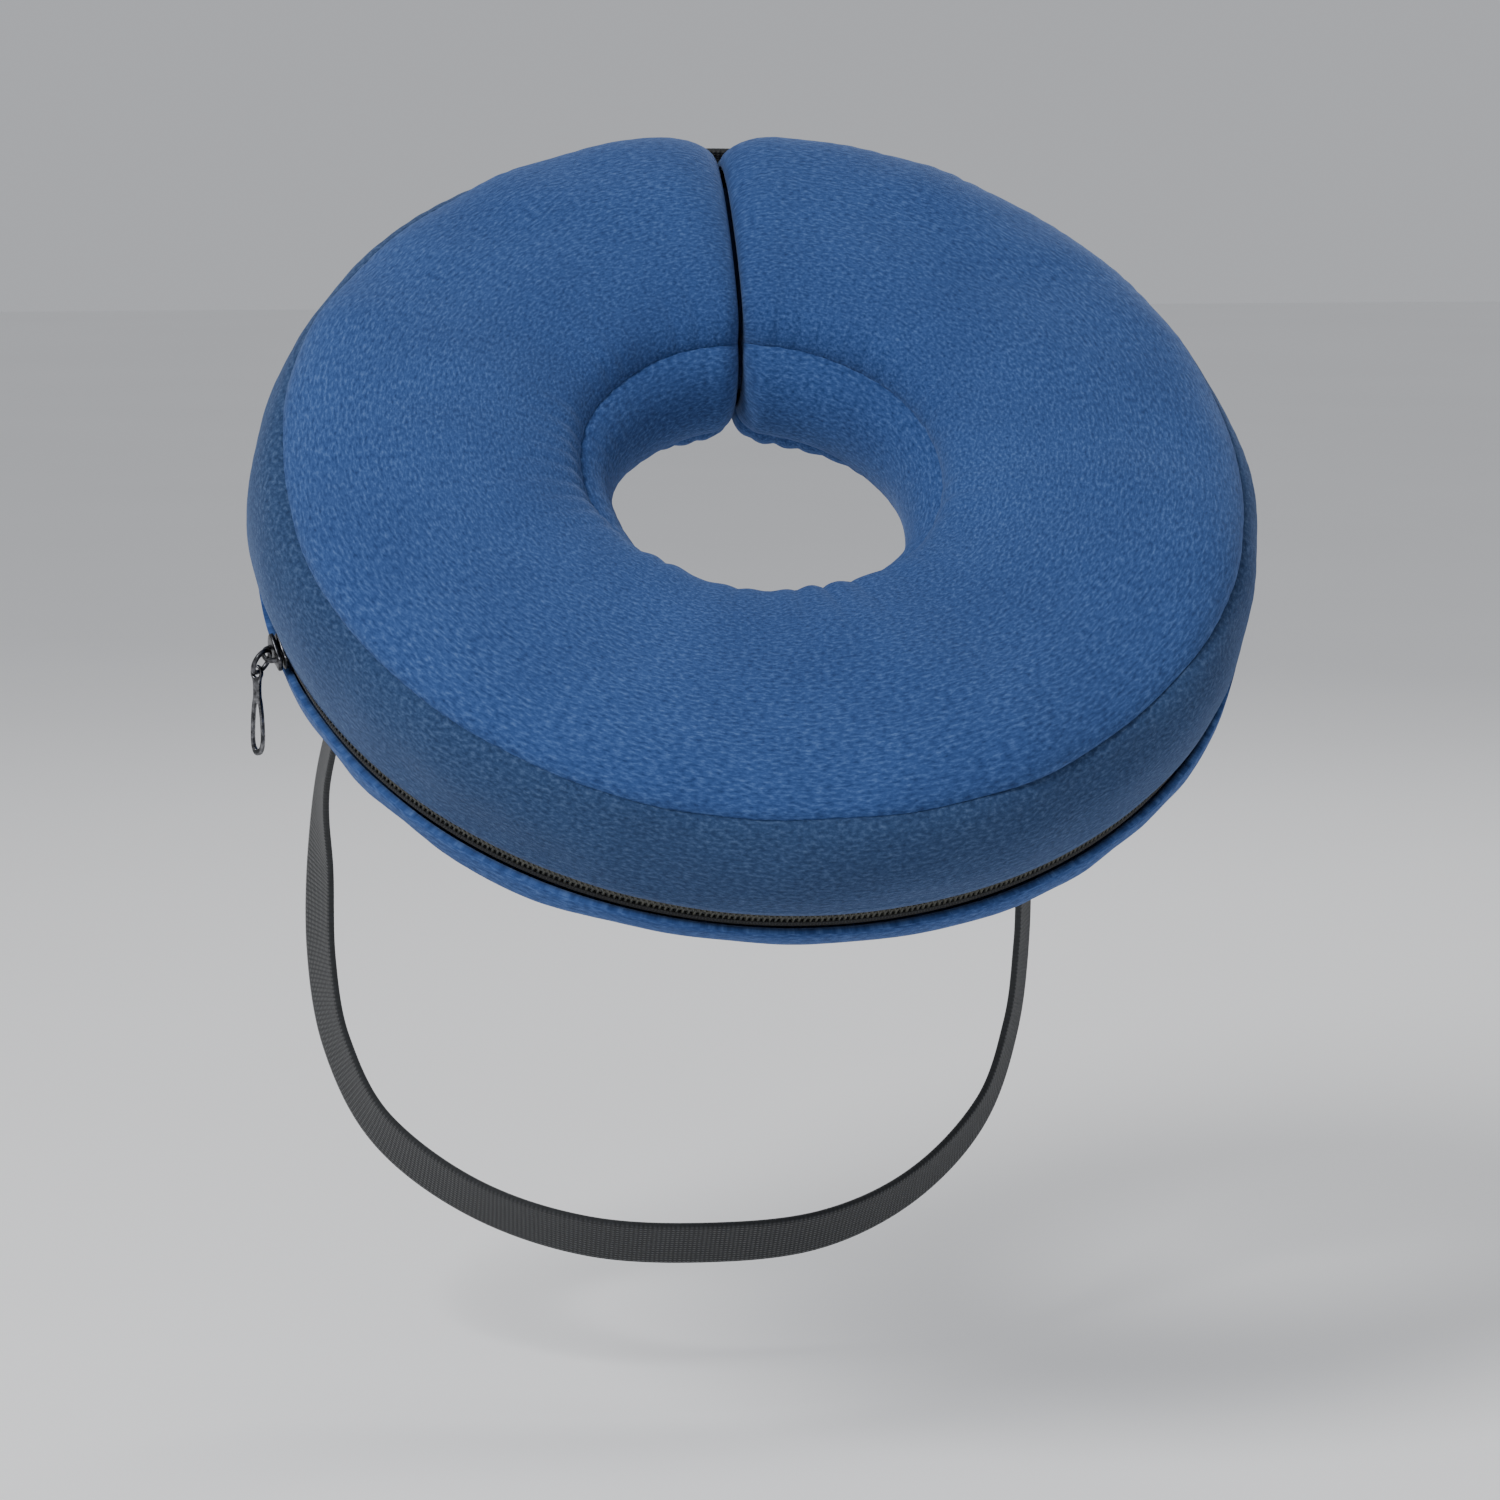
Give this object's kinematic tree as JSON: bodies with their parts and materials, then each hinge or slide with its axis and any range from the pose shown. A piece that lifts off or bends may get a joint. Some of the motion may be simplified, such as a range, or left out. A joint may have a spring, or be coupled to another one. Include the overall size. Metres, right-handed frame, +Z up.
{
  "type": "inflatable recovery collar",
  "caption": "Padded, air-filled ring collar for a small dog, slit at the back of the neck, with a zipped cloth cover and a webbing chest strap.",
  "frame": {"origin": "centre of the neck hole, halfway through the ring", "axes": "+Z up as worn on a sitting dog, -Y to the dog's front, +X to the viewer's right; the ring's front face looks 50 degrees up from -Y"},
  "size_m": [0.2481, 0.2187, 0.2959],
  "materials": {
    "cover": "short brushed nap",
    "web": "woven black webbing and tape",
    "coil": "satin coil",
    "metal": "gunmetal gloss",
    "bladder": "clear vinyl"
  },
  "bodies": {
    "root": {"cover_front": "cover", "cover_side": "cover", "cover_back": "cover", "neck_panel": "cover", "end_panel_left": "cover", "end_panel_right": "cover", "zip_tape_front": "web", "zip_tape_back": "web", "zip_coil": "coil", "zip_slider": "metal", "zip_bail": "metal", "zip_pull": "metal", "air_bladder": "bladder", "closure_tab": "web", "security_strap": "web"}
  },
  "joints": []
}
